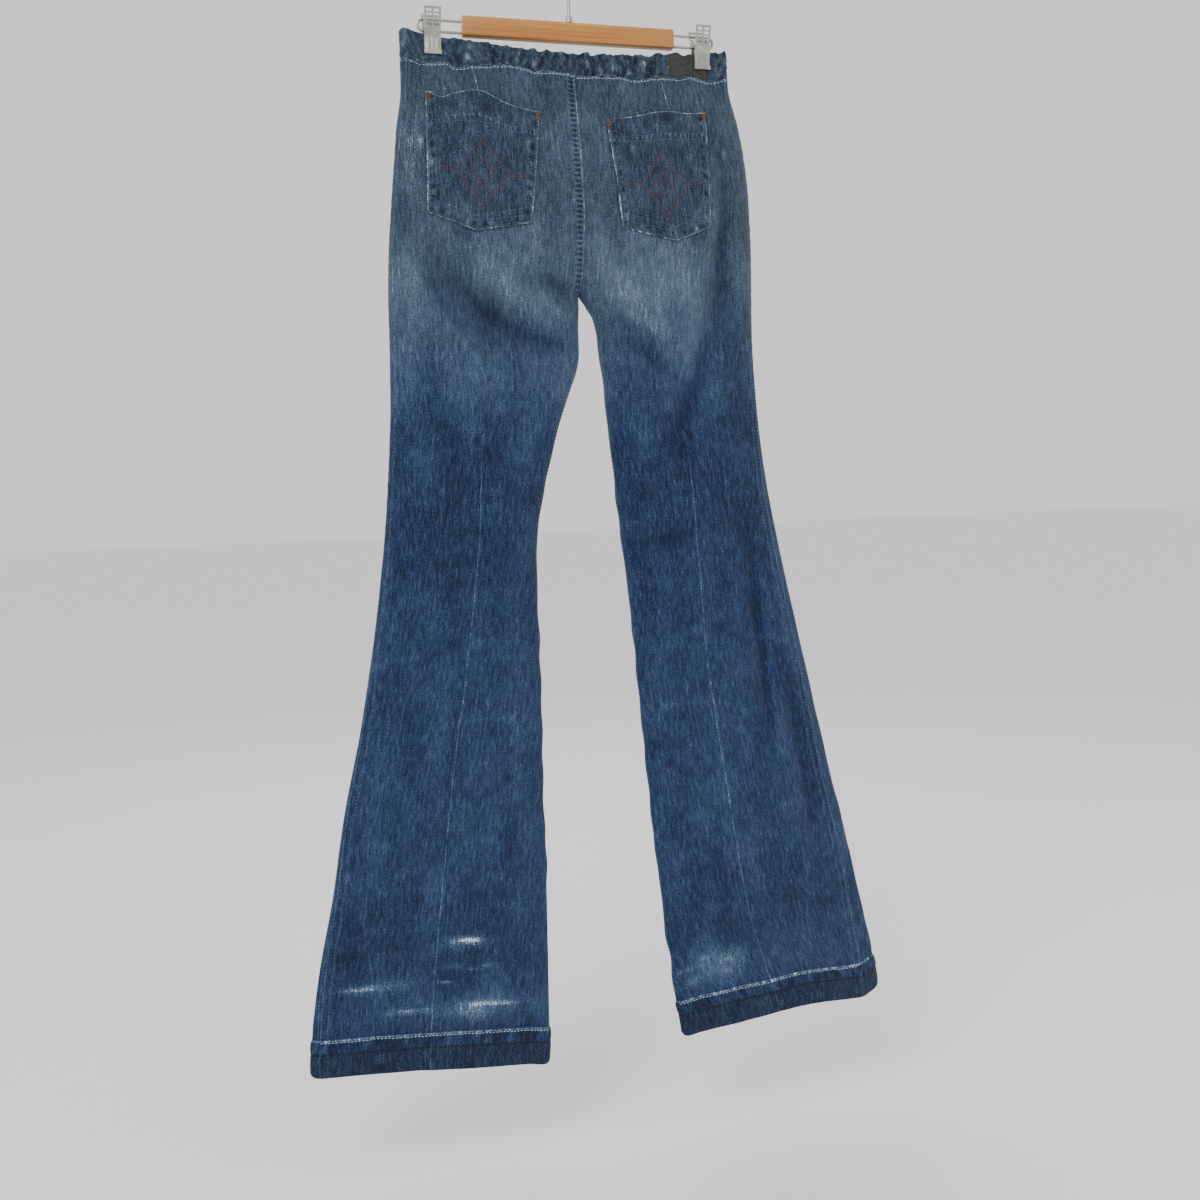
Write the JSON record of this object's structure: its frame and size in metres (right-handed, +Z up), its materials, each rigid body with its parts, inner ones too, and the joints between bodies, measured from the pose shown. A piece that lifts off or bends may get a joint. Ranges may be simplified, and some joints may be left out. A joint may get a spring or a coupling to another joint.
{
  "type": "flared jeans on a clip hanger",
  "caption": "Pull-on flared jeans with a gathered elastic waist and back patch pockets, hung by the waist from a wooden clip hanger.",
  "frame": {"origin": "the inside of the hook's top, where a rail holds the hanger", "axes": "+Z up, +X across the garment towards the wearer's right, -Y the side of the garment's back, which the picture shows"},
  "size_m": [0.6524, 0.0571, 1.1984],
  "materials": {
    "denim": "washed indigo denim, matt",
    "casing_denim": "darker washed denim, matt",
    "pocket_denim": "faded denim, matt",
    "patch": "dull dark brown",
    "wood": "satin lacquer",
    "wire": "satin",
    "clip_steel": "satin"
  },
  "bodies": {
    "root": {"left_back_panel": "denim", "right_back_panel": "denim", "left_front_panel": "denim", "right_front_panel": "denim", "left_back_casing": "casing_denim", "right_back_casing": "casing_denim", "left_front_casing": "casing_denim", "right_front_casing": "casing_denim", "left_back_pocket": "pocket_denim", "right_back_pocket": "pocket_denim", "waist_patch": "patch", "hanger_bar": "wood", "hanger_collar": "wire", "hanger_hook": "wire", "hanger_loop_left": "wire", "hanger_loop_right": "wire", "clip_left_back_jaw": "clip_steel", "clip_left_front_jaw": "clip_steel", "clip_left_spring": "clip_steel", "clip_right_back_jaw": "clip_steel", "clip_right_front_jaw": "clip_steel", "clip_right_spring": "clip_steel"}
  },
  "joints": []
}
